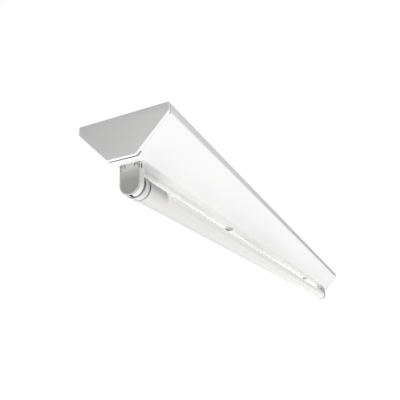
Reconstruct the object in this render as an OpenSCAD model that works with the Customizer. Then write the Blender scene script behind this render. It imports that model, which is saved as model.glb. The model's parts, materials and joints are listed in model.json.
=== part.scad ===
// Ceiling batten for one straight two-pin lamp, seen with its ceiling face up.
// A folded trough cover hangs on a flat back plate, and two lampholders under it carry the lamp.
// X runs along the lamp, Z is up, and the origin is the middle of the face that meets the ceiling.
// The near end is the -X end.

/* [Lamp] */
// Length of the lamp over its two caps, without the pins
lamp_l = 1200; // [880:1:1500]
// Outer diameter of the lamp's tube
lamp_d = 25.5; // [24.5:0.1:26.5]
// Wall of the lamp's tube
glass_t = 1; // [0.7:0.1:1.2]
// Length of each lamp cap along the lamp
lamp_cap_l = 11; // [9:0.5:16]
// Wall of a lamp cap's sleeve
lamp_cap_wall = 0.6; // [0.4:0.1:0.9]
// Thickness of a lamp cap's end disc
lamp_cap_end_t = 2; // [1.5:0.1:3]
// Diameter of a contact pin
pin_d = 2.35; // [2.2:0.05:2.5]
// Distance between the axes of a lamp's two pins
pin_pitch = 12.7; // [12.3:0.1:13.1]
// Length of the pins outside the cap
pin_l = 7.1; // [6.4:0.1:7.3]
// Width of the light strip inside the lamp
strip_w = 10; // [7:0.5:12]
// Distance between two light chips along the strip
chip_pitch = 24; // [16:1:40]
// Length of the driver's circuit board inside the lamp
driver_l = 62; // [58:1:90]

/* [Trough cover] */
// Width of the body across its upright lips
body_w = 110; // [100:1:130]
// Height of the body from the ceiling to the bottom flat
body_h = 48.5; // [44:0.5:60]
// Height of the upright lips beside the ceiling
lip_h = 10; // [9:0.5:12]
// Width of the bottom flat, measured at the folds
flat_w = 34; // [32:1:40]
// Sheet thickness of the cover
cover_t = 0.6; // [0.5:0.1:1]
// Inside radius of the cover's folds
cover_bend_r = 3.2; // [1.5:0.1:3.4]

/* [End caps] */
// Thickness of an end cap's outer plate
end_cap_t = 4; // [2:0.1:4.5]
// Radius of the outer plate's rounded edge
end_cap_round = 0.6; // [0.5:0.1:1.8]
// Depth of the rim that plugs into the cover
plug_l = 6.5; // [5:0.5:9]
// Wall of that rim
plug_t = 2.2; // [1.8:0.1:2.4]
// Open seam between an end cap's outer plate and the cover
cap_seam = 0.8; // [0.2:0.1:1]
// How far the rim is set back behind that seam
seam_depth = 1.2; // [0.6:0.1:1.4]

/* [Back plate] */
// Sheet thickness of the back plate
plate_t = 0.8; // [0.6:0.1:1.2]
// Height of the back plate's turned-down edges
plate_edge_h = 7; // [5:0.5:7.5]
// Distance between the two ceiling fixing slots
fixing_pitch = 700; // [680:1:800]
// Width of a fixing slot
fixing_slot_w = 5.5; // [4.5:0.1:6.5]
// Length of a fixing slot, end to end
fixing_slot_l = 12; // [9:0.5:20]
// Diameter of the hole for the supply cable's bush
entry_d = 20; // [16:0.5:22]
// Bore of that bush
bush_bore_d = 12; // [8:0.5:13]
// Height of the bush under the plate
bush_h = 6; // [4:0.5:10]

/* [Lampholders] */
// Width of a lampholder
holder_w = 25.4; // [24:0.2:26]
// Thickness of a lampholder along the lamp
holder_t = 8.4; // [8.2:0.1:10]
// Distance from the end of the body to a lampholder's outer face
holder_inset = 16.4; // [12:0.1:24]
// Depth of the lamp's axis below the bottom flat
lamp_drop = 22; // [20:0.5:30]
// Side wall of a lampholder's housing
holder_wall = 1.3; // [1:0.1:1.6]
// Front wall of a lampholder's housing, round the rotor
holder_front_t = 1.6; // [1.2:0.1:1.8]
// Thickness of a lampholder's snap-on back
holder_back_t = 1.2; // [1:0.1:1.3]
// Width of the neck that passes through the cover
neck_w = 16; // [15:0.5:18]
// Height of the neck above the cover
neck_h = 8; // [7:0.5:10]
// Radius of the rotor where it turns in the front wall
rotor_r = 8.2; // [8:0.1:8.4]
// Width of each spring tongue that latches a lampholder's back
latch_w = 2.2; // [1.6:0.1:2.4]
// Height of that tongue
latch_h = 2.6; // [2:0.1:4]
// Distance of each tongue from the middle of the lampholder
latch_y = 7.4; // [6.8:0.1:7.6]
// Width of the raised border round a lampholder's outer face
border_w = 2.2; // [1.5:0.1:3]
// Height of the clip notches at a lampholder's upper corners
notch_h = 7; // [5.5:0.5:8]

/* [Bridges and cover studs] */
// Distance between the two cover studs along the body
stud_pitch = 635; // [560:1:660]
// Sheet thickness of a bridge
bridge_t = 1.2; // [1:0.1:1.6]
// Width of a bridge across the body
bridge_w = 24; // [20:1:26]
// Length of a bridge's foot along the body
bridge_foot_l = 22; // [20:1:30]
// Diameter of a stud's shank
stud_d = 6; // [5:0.1:7]
// Diameter of a stud's head
stud_head_d = 12.8; // [8:0.1:13]
// Height of a stud's domed head
stud_head_h = 2.8; // [2.2:0.1:3.2]
// Diameter of the washer under a stud's head
washer_d = 14.6; // [11:0.1:15]
// Thickness of that washer
washer_t = 0.8; // [0.6:0.1:1.4]
// Length of the key that locks a stud behind its bridge
key_l = 14; // [12:0.5:15]
// Width of that key
key_w = 2.6; // [2:0.1:3]

/* [Terminal block and wiring] */
// Length of the terminal block along the body
block_l = 20; // [18:0.5:26]
// Height of the terminal block
block_h = 16; // [14:0.5:18]
// Distance between two poles of the terminal block
pole_pitch = 10; // [9.5:0.5:12]
// Diameter of an insulated wire
wire_d = 1.8; // [1.4:0.1:2.2]
// Distance of the wire runs from the middle of the body
wire_y = 30; // [24:1:36]
// Diameter of the earth stud
earth_d = 4; // [3:0.5:5]
// Length of the earth stud
earth_l = 12; // [10:0.5:16]

/* [Hidden] */

$fn = 64;

// Clearances: between fixed pieces, in a running fit, and round something that is only passed through
seat = 0.1;
running = 0.08;
pass = 0.3;
// Play of the lamp at each end
lamp_play = 1.2;
// How far a cut runs past the face that it opens
over = 1;
// Overlap that joins two stretches of one solid
weld = 0.01;

// Places along the body
body_l = lamp_l + 2 * (lamp_play + holder_t + holder_inset);
cap_x = body_l / 2 - end_cap_t;
cover_x = cap_x - cap_seam;
plate_x = cap_x - plug_l - pass;
holder_x = body_l / 2 - holder_inset;
entry_x = -50;
block_x = 35;
earth_x = 92;

// Heights, all below the ceiling at 0
flat_in_z = -body_h + cover_t;
axis_z = -body_h - lamp_drop;
bridge_z = flat_in_z + pass;
key_z = bridge_z + bridge_t + seat;
key_h = 2;
head_top = -body_h - washer_t - seat;
head_rim = 1.4;
// Least radius left where a fold is offset inwards
fold_min_r = 0.2;
driver_slot_w = 1.2;
driver_slot_h = 1.2;

// Lampholder: u is the depth from its outer face towards the lamp
round_r = 1;
neck_u = 7;
neck_wall = 1.2;
barb_w = 1;
barb_h = 3;
barb_rim = 0.6;
barb_inset = 1;
rim_t = 0.7;
rim_u = 0.8;
rim_drop = 2;
latch_slot = 0.9;
latch_edge = 0.8;
border_t = 0.35;
border_top = 1;
notch_w = 1.1;
notch_edge = 1.1;
window_u1 = 4.2;
nub_u = 5.6;
nub_l = 1.6;
nub_h = 3;
nub_w = 0.5;
nub_drop = 2.5;
rotor_back_t = 0.7;
rotor_deep_r = pin_pitch / 2 + pin_d / 2 + 0.1;
rotor_flange_t = 1;
rotor_flange_w = 1;
rotor_slot_w = pin_d + 0.4;
entry_slot_w = pin_d + 1;
front_u = holder_t - holder_front_t;
slot_u = holder_back_t + running + rotor_back_t;
flange_u = front_u - running - rotor_flange_t;
leaf_t = 0.4;
leaf_y = rotor_deep_r + pass;
leaf_low_z = -3;
leaf_u0 = holder_back_t + 1;
leaf_u1 = flange_u - 0.2;
socket_w = 3.6;
socket_y = neck_w / 2 - neck_wall - seat - socket_w / 2;
neck_mid_u = holder_t / 2;

// Lamp
lamp_cap_r = lamp_d / 2 + seat / 2 + lamp_cap_wall;
bore_r = lamp_d / 2 - glass_t;
strip_t = 0.8;
strip_top = sqrt(pow(bore_r, 2) - pow(strip_w / 2, 2)) - seat;
strip_x = lamp_l / 2 - lamp_cap_l - 14;
strip_end = 10;
chip_size = [3.5, 2.8, 0.7];
lead_d = 1;
lead_pitch = 6;
lead_inset = 2;
pin_inside_l = 3;
pin_chamfer = 0.5;
pin_seat = 0.02;
cap_edge_r = 0.8;
board_t = 1.2;
board_top = -1.8;
board_w = 2 * (sqrt(pow(bore_r, 2) - pow(board_t - board_top, 2)) - seat);
board_x = -lamp_l / 2 + lamp_cap_end_t + seat;

// Terminal block and wiring
pole_w = 5;
pole_bore_r = wire_d / 2 + 0.6;
clamp_r = 1.4;
clamp_head_r = 1.9;
clamp_hole_r = 2.2;
clamp_head_z = -pole_w / 2 - 3.5;
clamp_head_h = 2;
block_screw_r = 1.5;
block_head_r = 2.2;
block_head_h = 1.6;
head_gap = 0.4;
insert_inset = 1;
slot_w = 0.6;
slot_h = 0.8;
block_w = 2 * pole_pitch + 13;
block_z = -plate_t - block_h / 2;
wire_z = -plate_t - 2.6;
clip_w = 7;
clip_h = 5;
clip_l = 6;
clip_mouth_w = wire_d - 0.4;
clips_a_side = 4;
clip_shift = 26;
earth_y = pole_pitch;
earth_washer_t = 1;
earth_nut_h = 3;
ring_t = 0.8;
ring_top = -plate_t - earth_washer_t;
ring_barrel_l = 5;
barrel_r = wire_d / 2 + 0.6;
barrel_z = ring_top - barrel_r;

// Vectors and plane paths
function unit(v) = v / norm(v);
function left_of(a, b) = let (d = unit(b - a)) [-d[1], d[0]];
function turn(a, b) = let (d = b - a) d > 180 ? d - 360 : d < -180 ? d + 360 : d;
function reversed(list) = [for (i = [len(list) - 1 : -1 : 0]) list[i]];

// The arc of radius r that rounds the corner b between a and c
function fillet(a, b, c, r, steps = 6) =
    let (
        p = unit(a - b),
        q = unit(c - b),
        half = acos(p * q) / 2,
        centre = b + unit(p + q) * r / sin(half),
        from = b + p * r / tan(half) - centre,
        to = b + q * r / tan(half) - centre,
        start = atan2(from[1], from[0]),
        sweep = turn(start, atan2(to[1], to[0]))
    )
    [for (i = [0 : steps]) centre + r * [cos(start + sweep * i / steps), sin(start + sweep * i / steps)]];

// An open path with its inner corners rounded, each by its own radius
function rounded(path, radii) = [
    path[0],
    for (i = [1 : len(path) - 2]) each fillet(path[i - 1], path[i], path[i + 1], radii[i - 1]),
    path[len(path) - 1]
];

// The same path moved to its left by t
function moved(path, t) = let (last = len(path) - 1) [
    path[0] + t * left_of(path[0], path[1]),
    for (i = [1 : last - 1])
        let (m = left_of(path[i - 1], path[i]), n = left_of(path[i], path[i + 1]))
        path[i] + t * (m + n) / (1 + m * n),
    path[last] + t * left_of(path[last - 1], path[last])
];

function bends_left(path) = [
    for (i = [1 : len(path) - 2]) cross(path[i] - path[i - 1], path[i + 1] - path[i]) > 0
];

// Outline of a sheet of thickness t, folded along a path that is its right-hand face, with inside radius r
function folded(path, t, r) = let (left = bends_left(path)) concat(
    rounded(path, [for (l = left) l ? r + t : r]),
    reversed(rounded(moved(path, t), [for (l = left) l ? r : r + t]))
);

// The body's outer face, from one lip to the other, as [y, z]
body_path = [
    [-body_w / 2, 0], [-body_w / 2, -lip_h], [-flat_w / 2, -body_h],
    [flat_w / 2, -body_h], [body_w / 2, -lip_h], [body_w / 2, 0]
];

// The same face moved inwards by t, closed by a straight top that also moves down by t
function body_outline(t) =
    let (
        side = moved(body_path, t),
        path = [for (p = side) [p[0], min(p[1], -t)]]
    )
    rounded(path, [for (i = [1 : 4]) max(cover_bend_r + cover_t - t, fold_min_r)]);

// Draws children for the near end, or mirrored for the far end
module at_end(far) {
    mirror([far ? 1 : 0, 0, 0]) children();
}

// Extrudes a [y, z] outline along X, from x0 to x1
module along_x(x0, x1) {
    translate([x0, 0, 0])
        rotate([90, 0, 90])
            linear_extrude(height = x1 - x0) children();
}

module bar(low, high) {
    translate(low) cube(high - low);
}

module rod_x(x0, x1, r, y = 0, z = 0) {
    translate([x0, y, z]) rotate([0, 90, 0]) cylinder(r = r, h = x1 - x0);
}

module rod_z(z0, z1, r, x = 0, y = 0) {
    translate([x, y, z0]) cylinder(r = r, h = z1 - z0);
}

// Back plate

module slot_hole(l, w) {
    r = w / 2;
    for (s = [-1, 1]) rod_z(-plate_t - over, over, r, s * (l / 2 - r));
    bar([-l / 2 + r, -r, -plate_t - over], [l / 2 - r, r, over]);
}

module back_plate() {
    edge_y = body_w / 2 - cover_t - pass;
    path = [[-edge_y, -plate_edge_h], [-edge_y, 0], [edge_y, 0], [edge_y, -plate_edge_h]];
    color("whitesmoke")
        difference() {
            along_x(-plate_x, plate_x) polygon(folded(reversed(path), plate_t, 1));
            for (s = [-1, 1]) {
                translate([s * fixing_pitch / 2, 0, 0]) slot_hole(fixing_slot_l, fixing_slot_w);
                rod_z(-plate_t - over, over, block_screw_r + seat / 2, block_x, s * pole_pitch / 2);
            }
            rod_z(-plate_t - over, over, entry_d / 2, entry_x);
        }
}

module cable_bush() {
    r = entry_d / 2 - seat;
    color("dimgray")
        translate([entry_x, 0, 0])
            rotate_extrude()
                polygon([
                    [bush_bore_d / 2, 0], [r, 0], [r, -plate_t], [r + 2.5, -plate_t],
                    [r + 2.5, -plate_t - 1.5], [r, -plate_t - 1.5], [r, -plate_t - bush_h],
                    [bush_bore_d / 2, -plate_t - bush_h]
                ]);
}

// Bridges and cover studs

module bridge(far) {
    leg_x = key_l / 2 + 2 + bridge_t;
    foot_z = -plate_t - bridge_t;
    // The underside of the sheet, from one foot down a leg, across and up to the other foot
    path = [
        [-leg_x - bridge_foot_l, foot_z], [-leg_x, foot_z], [-leg_x, bridge_z],
        [leg_x, bridge_z], [leg_x, foot_z], [leg_x + bridge_foot_l, foot_z]
    ];
    color("silver")
        at_end(far)
            translate([-stud_pitch / 2, 0, 0])
                difference() {
                    translate([0, bridge_w / 2, 0])
                        rotate([90, 0, 0])
                            linear_extrude(height = bridge_w) polygon(folded(path, bridge_t, 1));
                    rod_z(bridge_z - over, bridge_z + bridge_t + over, stud_d / 2 + running);
                    bar(
                        [-key_l / 2 - pass, -key_w / 2 - pass, bridge_z - over],
                        [key_l / 2 + pass, key_w / 2 + pass, bridge_z + bridge_t + over]
                    );
                }
}

// The head is a flat cap of a sphere over a short rim
module stud_head() {
    rise = stud_head_h - head_rim;
    r = (pow(stud_head_d / 2, 2) + pow(rise, 2)) / (2 * rise);
    sweep = asin(stud_head_d / 2 / r);
    difference() {
        rotate_extrude()
            polygon(concat(
                [[0, 0], [stud_head_d / 2, 0]],
                [for (i = [0 : 8])
                    let (a = sweep * (1 - i / 8))
                    [r * sin(a), r * (1 - cos(a)) - stud_head_h]]
            ));
        translate([0, 0, -stud_head_h])
            bar(
                [-stud_head_d, -driver_slot_w / 2, -over],
                [stud_head_d, driver_slot_w / 2, driver_slot_h]
            );
    }
}

module stud(far) {
    color("darkgray")
        at_end(far)
            translate([-stud_pitch / 2, 0, 0]) {
                translate([0, 0, head_top]) stud_head();
                rod_z(head_top - weld, key_z + key_h, stud_d / 2);
                bar([-key_w / 2, -key_l / 2, key_z], [key_w / 2, key_l / 2, key_z + key_h]);
            }
}

module washer(far) {
    color("lightgray")
        at_end(far)
            translate([-stud_pitch / 2, 0, -body_h - washer_t])
                difference() {
                    cylinder(d = washer_d, h = washer_t);
                    rod_z(-over, washer_t + over, stud_d / 2 + pass);
                }
}

// Trough cover and end caps

module cover() {
    color("white")
        difference() {
            along_x(-cover_x, cover_x) polygon(folded(body_path, cover_t, cover_bend_r));
            for (s = [-1, 1]) {
                rod_z(-body_h - over, flat_in_z + over, stud_d / 2 + pass, s * stud_pitch / 2);
                translate([s * (holder_x - neck_mid_u), 0, 0])
                    bar(
                        [-neck_u / 2 - pass, -neck_w / 2 - pass, -body_h - over],
                        [neck_u / 2 + pass, neck_w / 2 + pass, flat_in_z + over]
                    );
            }
        }
}

// The cap's outer plate, with a quarter round towards its outer face
module rounded_plate(steps = 4) {
    hull() {
        along_x(-body_l / 2 + end_cap_round, -cap_x) polygon(body_outline(0));
        for (i = [1 : steps])
            let (a = 90 * i / steps, x = -body_l / 2 + end_cap_round * (1 - sin(a)))
            along_x(x, x + weld) polygon(body_outline(end_cap_round * (1 - cos(a))));
    }
}

// A closed rim that runs inside the cover, between two offsets of the body's outline
module rim_ring(outside, inside) {
    difference() {
        polygon(body_outline(outside));
        polygon(body_outline(inside));
    }
}

// Behind the seam the rim is set back, so that the seam shows as a dark line
module end_cap(far) {
    gap = cover_t + seat;
    full_x = -cap_x + cap_seam + pass;
    color("gainsboro")
        at_end(far) {
            rounded_plate();
            along_x(-cap_x - weld, full_x) rim_ring(gap + seam_depth, gap + plug_t);
            along_x(full_x - weld, -cap_x + plug_l) rim_ring(gap, gap + plug_t);
        }
}

// Lampholders, drawn for the near end with the outer face at x = 0 and the lamp's axis as the X axis

module at_holder(far) {
    at_end(far) translate([-holder_x, 0, axis_z]) children();
}

// A U-shaped solid: half width against depth is given as [half width, depth] points
module u_solid(profile, top) {
    rotate([0, 90, 0])
        rotate([0, 0, -90])
            rotate_extrude(angle = 180) polygon(profile);
    linear_extrude(height = top)
        polygon(concat([for (p = profile) [p[1], p[0]]], [for (p = reversed(profile)) [p[1], -p[0]]]));
}

// A quarter round from the flat face at depth u, growing to half width w; way is 1 if the piece lies deeper
function edge_round(w, u, r, way) = [for (i = [0 : 4]) let (a = 90 * i / 4)
    [w - r + r * sin(a), u + way * r * (1 - cos(a))]];

// A plain profile for u_solid, from depth u0 to u1
function slab(half_w, u0, u1) = [[0, u0], [half_w, u0], [half_w, u1], [0, u1]];

module holder_housing(far) {
    w = holder_w / 2;
    outer = concat(
        [[0, holder_back_t], [w, holder_back_t]],
        reversed(edge_round(w, holder_t, round_r, -1)),
        [[0, holder_t]]
    );
    color("white")
        at_holder(far)
            difference() {
                union() {
                    u_solid(outer, lamp_drop);
                    neck();
                    side_nubs();
                }
                u_solid(slab(w - holder_wall, holder_back_t - over, front_u), lamp_drop - holder_wall);
                neck_hollow();
                rod_x(front_u - over, holder_t + over, rotor_r + running);
                bar([slot_u, -entry_slot_w / 2, -w - over], [holder_t + over, entry_slot_w / 2, 0]);
                side_windows();
            }
}

// A window at the top of each side wall, where the back's clips are pressed in
module side_windows() {
    for (s = [0, 1])
        mirror([0, s, 0])
            bar(
                [holder_back_t - over, holder_w / 2 - holder_wall - over, lamp_drop - notch_h],
                [window_u1, holder_w / 2 + over, lamp_drop + over]
            );
}

// A small wedge on each side wall, which centres the lampholder in its slot
module side_nubs() {
    y = holder_w / 2;
    z = lamp_drop - nub_drop;
    for (s = [0, 1])
        mirror([0, s, 0])
            along_x(nub_u, nub_u + nub_l)
                polygon([
                    [y - weld, z - nub_h],
                    [y + nub_w, z - nub_h + nub_w],
                    [y + nub_w, z],
                    [y - weld, z]
                ]);
}

module neck() {
    bar(
        [neck_mid_u - neck_u / 2, -neck_w / 2, lamp_drop - weld],
        [neck_mid_u + neck_u / 2, neck_w / 2, lamp_drop + neck_h]
    );
    // Barbs that snap over the cover's sheet
    barb_z = lamp_drop + cover_t + pass;
    for (s = [0, 1])
        mirror([0, s, 0])
            along_x(neck_mid_u - neck_u / 2 + barb_inset, neck_mid_u + neck_u / 2 - barb_inset)
                polygon([
                    [neck_w / 2 - weld, barb_z], [neck_w / 2 + barb_w, barb_z],
                    [neck_w / 2 + barb_w, barb_z + barb_rim],
                    [neck_w / 2, barb_z + barb_h], [neck_w / 2 - weld, barb_z + barb_h]
                ]);
}

module neck_hollow() {
    bar(
        [
            neck_mid_u - neck_u / 2 + neck_wall, -neck_w / 2 + neck_wall,
            lamp_drop - holder_wall - over
        ],
        [
            neck_mid_u + neck_u / 2 - neck_wall, neck_w / 2 - neck_wall,
            lamp_drop + neck_h - neck_wall
        ]
    );
    for (s = [-1, 1])
        rod_z(lamp_drop, lamp_drop + neck_h + over, wire_d / 2 + pass, neck_mid_u, s * socket_y);
}

// Slots on two sides and above each spring tongue at the top of a lampholder's back
module latch_slots() {
    for (s = [-1, 1])
        translate([0, s * latch_y, lamp_drop - seat - latch_edge - latch_slot])
            difference() {
                bar(
                    [-over, -latch_w / 2 - latch_slot, -latch_h],
                    [holder_back_t + over, latch_w / 2 + latch_slot, latch_slot]
                );
                bar(
                    [-2 * over, -latch_w / 2, -latch_h - over],
                    [holder_back_t + 2 * over, latch_w / 2, 0]
                );
            }
}

// A slot near each upper corner of a lampholder's back
module corner_notches() {
    y = holder_w / 2 - notch_edge - notch_w;
    for (s = [0, 1])
        mirror([0, s, 0])
            bar([-over, y, lamp_drop - notch_h], [holder_back_t - 0.3, y + notch_w, lamp_drop + over]);
}

// The back carries a rim that locates it in the housing
module holder_back(far) {
    w = holder_w / 2;
    rim = w - holder_wall - seat;
    outer = concat(
        [[0, 0]],
        edge_round(w, 0, min(round_r, holder_back_t - seat), 1),
        [[w, holder_back_t], [0, holder_back_t]]
    );
    color("white")
        at_holder(far)
            difference() {
                union() {
                    u_solid(outer, lamp_drop - seat);
                    u_solid(
                        slab(rim, holder_back_t - weld, holder_back_t + rim_u),
                        lamp_drop - holder_wall - rim_drop
                    );
                }
                u_solid(slab(rim - rim_t, holder_back_t, holder_t), lamp_drop);
                bar([holder_back_t, -entry_slot_w / 2, -w], [holder_t, entry_slot_w / 2, 0]);
                u_solid(slab(w - border_w, -over, border_t), lamp_drop - notch_h - border_top);
                latch_slots();
                corner_notches();
            }
}

module rotor(far) {
    color("white")
        at_holder(far)
            difference() {
                union() {
                    rod_x(holder_back_t + running, flange_u, rotor_deep_r);
                    rod_x(flange_u - weld, front_u - running, rotor_r + rotor_flange_w);
                    rod_x(front_u - running - weld, holder_t, rotor_r);
                }
                bar(
                    [slot_u, -rotor_r - rotor_flange_w - over, -rotor_slot_w / 2],
                    [holder_t + over, rotor_r + rotor_flange_w + over, rotor_slot_w / 2]
                );
            }
}

// Each contact is a leaf beside a pin, a tab across and a socket for the wire
module contacts(far) {
    top = lamp_drop - holder_wall - seat;
    socket_top = lamp_drop + neck_h - neck_wall - seat;
    color("goldenrod")
        at_holder(far)
            for (s = [0, 1])
                mirror([0, s, 0])
                    difference() {
                        union() {
                            bar([leaf_u0, leaf_y, leaf_low_z], [leaf_u1, leaf_y + leaf_t, top]);
                            bar(
                                [leaf_u0, socket_y - socket_w / 2, top - leaf_t],
                                [leaf_u1, leaf_y + leaf_t, top]
                            );
                            bar(
                                [neck_mid_u - socket_w / 2, socket_y - socket_w / 2, top - weld],
                                [neck_mid_u + socket_w / 2, socket_y + socket_w / 2, socket_top]
                            );
                        }
                        rod_z(top + over, socket_top + over, wire_d / 2 + seat, neck_mid_u, socket_y);
                    }
}

// Lamp, drawn about the X axis

module at_lamp() {
    translate([0, 0, axis_z]) children();
}

module lamp_tube() {
    x = lamp_l / 2 - lamp_cap_end_t - seat;
    color("white", 0.8)
        at_lamp()
            difference() {
                rod_x(-x, x, lamp_d / 2);
                rod_x(-x - over, x + over, bore_r);
            }
}

module lamp_cap(far) {
    r = lamp_cap_r;
    inner = lamp_d / 2 + seat / 2;
    profile = concat(
        [[0, 0]],
        edge_round(r, 0, cap_edge_r, 1),
        [[r, lamp_cap_l], [inner, lamp_cap_l], [inner, lamp_cap_end_t], [0, lamp_cap_end_t]]
    );
    color("gainsboro")
        at_end(far)
            translate([-lamp_l / 2, 0, axis_z])
                difference() {
                    rotate([0, 90, 0]) rotate_extrude() polygon(profile);
                    for (s = [-1, 1])
                        rod_x(-over, lamp_cap_end_t + over, pin_d / 2 + pin_seat, s * pin_pitch / 2);
                }
}

module lamp_pins(far) {
    r = pin_d / 2;
    inside = lamp_cap_end_t + pin_inside_l;
    color("silver")
        at_end(far)
            translate([-lamp_l / 2, 0, axis_z])
                for (s = [-1, 1])
                    translate([0, s * pin_pitch / 2, 0])
                        rotate([0, -90, 0])
                            rotate_extrude()
                                polygon([
                                    [0, -inside], [r, -inside], [r, pin_l - pin_chamfer],
                                    [r - pin_chamfer, pin_l], [0, pin_l]
                                ]);
}

module light_strip() {
    color("white")
        at_lamp()
            bar([-strip_x, -strip_w / 2, strip_top - strip_t], [strip_x, strip_w / 2, strip_top]);
}

module light_chips() {
    count = floor(2 * (strip_x - strip_end) / chip_pitch);
    color("khaki")
        at_lamp()
            for (i = [0 : count])
                translate([
                    (i - count / 2) * chip_pitch - chip_size[0] / 2,
                    -chip_size[1] / 2,
                    strip_top - strip_t - chip_size[2]
                ])
                    cube(chip_size);
}

module driver_board() {
    color("seagreen")
        at_lamp()
            bar(
                [board_x, -board_w / 2, board_top - board_t],
                [board_x + driver_l, board_w / 2, board_top]
            );
}

// A bridge rectifier, a fuse, a capacitor, a transformer and an output coil, from the pins inwards
module driver_parts() {
    color("darkorange")
        at_lamp()
            translate([board_x, 0, board_top]) {
                bar([10, -5, 0], [17, -1, 3]);
                rod_x(12, 20, 1.5, 4, 1.5);
                rod_z(0, 8, 3.5, 24.5);
                translate([driver_l, 0, 0]) {
                    bar([-29, -6, 0], [-17, 6, 8]);
                    rod_x(-14, -6, 3, -4, 3);
                }
            }
}

module strip_leads() {
    color("firebrick")
        at_lamp()
            for (s = [-1, 1])
                rod_z(
                    board_top, strip_top - strip_t, lead_d / 2,
                    board_x + driver_l - lead_inset, s * lead_pitch / 2
                );
}

// Terminal block, earth stud and wiring, all under the back plate

module at_poles() {
    for (p = [-1 : 1])
        translate([block_x, p * pole_pitch, block_z]) children();
}

// The screwdriver slot in a screw whose head points down to z
module driver_slot(z) {
    bar([-clamp_hole_r, -slot_w / 2, z - over], [clamp_hole_r, slot_w / 2, z + slot_h]);
}

module terminal_block() {
    low = -plate_t - block_h;
    color("ivory")
        difference() {
            bar(
                [block_x - block_l / 2, -block_w / 2, low],
                [block_x + block_l / 2, block_w / 2, -plate_t]
            );
            at_poles() {
                bar(
                    [-block_l / 2 - over, -pole_w / 2 - seat, -pole_w / 2 - seat],
                    [block_l / 2 + over, pole_w / 2 + seat, pole_w / 2 + seat]
                );
                for (s = [-1, 1])
                    rod_z(-block_h, 0, clamp_hole_r, s * block_l / 4);
            }
            for (s = [-1, 1]) {
                rod_z(low - over, over, block_screw_r + pass, block_x, s * pole_pitch / 2);
                rod_z(
                    low - over, low + block_head_h + head_gap, block_head_r + pass,
                    block_x, s * pole_pitch / 2
                );
            }
        }
}

module terminal_inserts() {
    color("goldenrod")
        at_poles()
            difference() {
                bar(
                    [-block_l / 2 + insert_inset, -pole_w / 2, -pole_w / 2],
                    [block_l / 2 - insert_inset, pole_w / 2, pole_w / 2]
                );
                rod_x(-block_l, block_l, pole_bore_r);
                for (s = [-1, 1])
                    rod_z(-pole_w, 0, clamp_r + seat / 2, s * block_l / 4);
            }
}

// Each clamp screw stops just short of the wire
module terminal_screws() {
    color("silver")
        at_poles()
            for (s = [-1, 1])
                translate([s * block_l / 4, 0, 0])
                    difference() {
                        union() {
                            rod_z(clamp_head_z + weld, -wire_d / 2 - seat / 2, clamp_r);
                            rod_z(clamp_head_z, clamp_head_z + clamp_head_h, clamp_head_r);
                        }
                        driver_slot(clamp_head_z);
                    }
}

// The block's own screws end just short of the ceiling
module block_screws() {
    head_z = -plate_t - block_h + head_gap;
    color("silver")
        for (s = [-1, 1])
            translate([block_x, s * pole_pitch / 2, 0])
                difference() {
                    union() {
                        rod_z(head_z + weld, -seat, block_screw_r);
                        rod_z(head_z, head_z + block_head_h, block_head_r);
                    }
                    driver_slot(head_z);
                }
}

module earth_stud() {
    color("silver") rod_z(-plate_t - earth_l, -plate_t, earth_d / 2, earth_x, earth_y);
}

module earth_washer() {
    color("silver")
        difference() {
            rod_z(-plate_t - earth_washer_t, -plate_t, earth_d / 2 + 2.5, earth_x, earth_y);
            rod_z(-plate_t - 2 * earth_washer_t, over, earth_d / 2 + seat, earth_x, earth_y);
        }
}

// The ring terminal has a barrel on its -X side for the earth wire
module earth_ring() {
    neck_x = earth_x - earth_d / 2 - 8;
    barrel_x = neck_x + over - ring_barrel_l;
    color("gold")
        difference() {
            union() {
                rod_z(ring_top - ring_t, ring_top, earth_d / 2 + 2.2, earth_x, earth_y);
                bar(
                    [neck_x, earth_y - 1.6, ring_top - ring_t],
                    [earth_x, earth_y + 1.6, ring_top]
                );
                rod_x(barrel_x, neck_x + over, barrel_r, earth_y, barrel_z);
            }
            rod_z(ring_top - ring_barrel_l, over, earth_d / 2 + seat, earth_x, earth_y);
            rod_x(barrel_x - over, neck_x, wire_d / 2 + seat, earth_y, barrel_z);
        }
}

module earth_nut() {
    translate([earth_x, earth_y, ring_top - ring_t - earth_nut_h])
        color("silver")
            difference() {
                cylinder(r = earth_d / 2 + 2, h = earth_nut_h, $fn = 6);
                rod_z(-over, earth_nut_h + over, earth_d / 2 + seat);
            }
}

// Corners of each wire's run, from the terminal block to where it ends
block_end = block_x + block_l / 2;
wire_drop_x = holder_x - neck_mid_u;
wire_end_z = axis_z + lamp_drop + 2;

live_path = [
    [block_end - 3, -pole_pitch, block_z], [block_end + 9, -pole_pitch, block_z],
    [block_end + 9, -wire_y, wire_z], [block_end - 9, -wire_y, wire_z],
    [-wire_drop_x, -wire_y, wire_z],
    [-wire_drop_x, -socket_y, wire_z - 9], [-wire_drop_x, -socket_y, wire_end_z]
];
neutral_path = [
    [block_end - 3, 0, block_z], [block_end + 7, 0, block_z],
    [block_end + 14, 5, block_z - 7], [block_end + 24, 24, block_z - 7],
    [block_end + 38, wire_y, wire_z], [wire_drop_x, wire_y, wire_z],
    [wire_drop_x, socket_y, wire_z - 9], [wire_drop_x, socket_y, wire_end_z]
];
earth_path = [
    [block_end - 3, pole_pitch, block_z], [block_end + 8, pole_pitch, block_z],
    [earth_x - earth_d / 2 - 18, earth_y, barrel_z], [earth_x - earth_d / 2 - 9, earth_y, barrel_z]
];

// A run with each corner drawn as a short curve that starts and ends reach away from it
function curved(path, reach, steps = 4) = [
    path[0],
    for (i = [1 : len(path) - 2])
        let (
            a = path[i] + reach * unit(path[i - 1] - path[i]),
            c = path[i] + reach * unit(path[i + 1] - path[i])
        )
        for (k = [0 : steps])
            let (s = k / steps) pow(1 - s, 2) * a + 2 * s * (1 - s) * path[i] + s * s * c,
    path[len(path) - 1]
];

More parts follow.
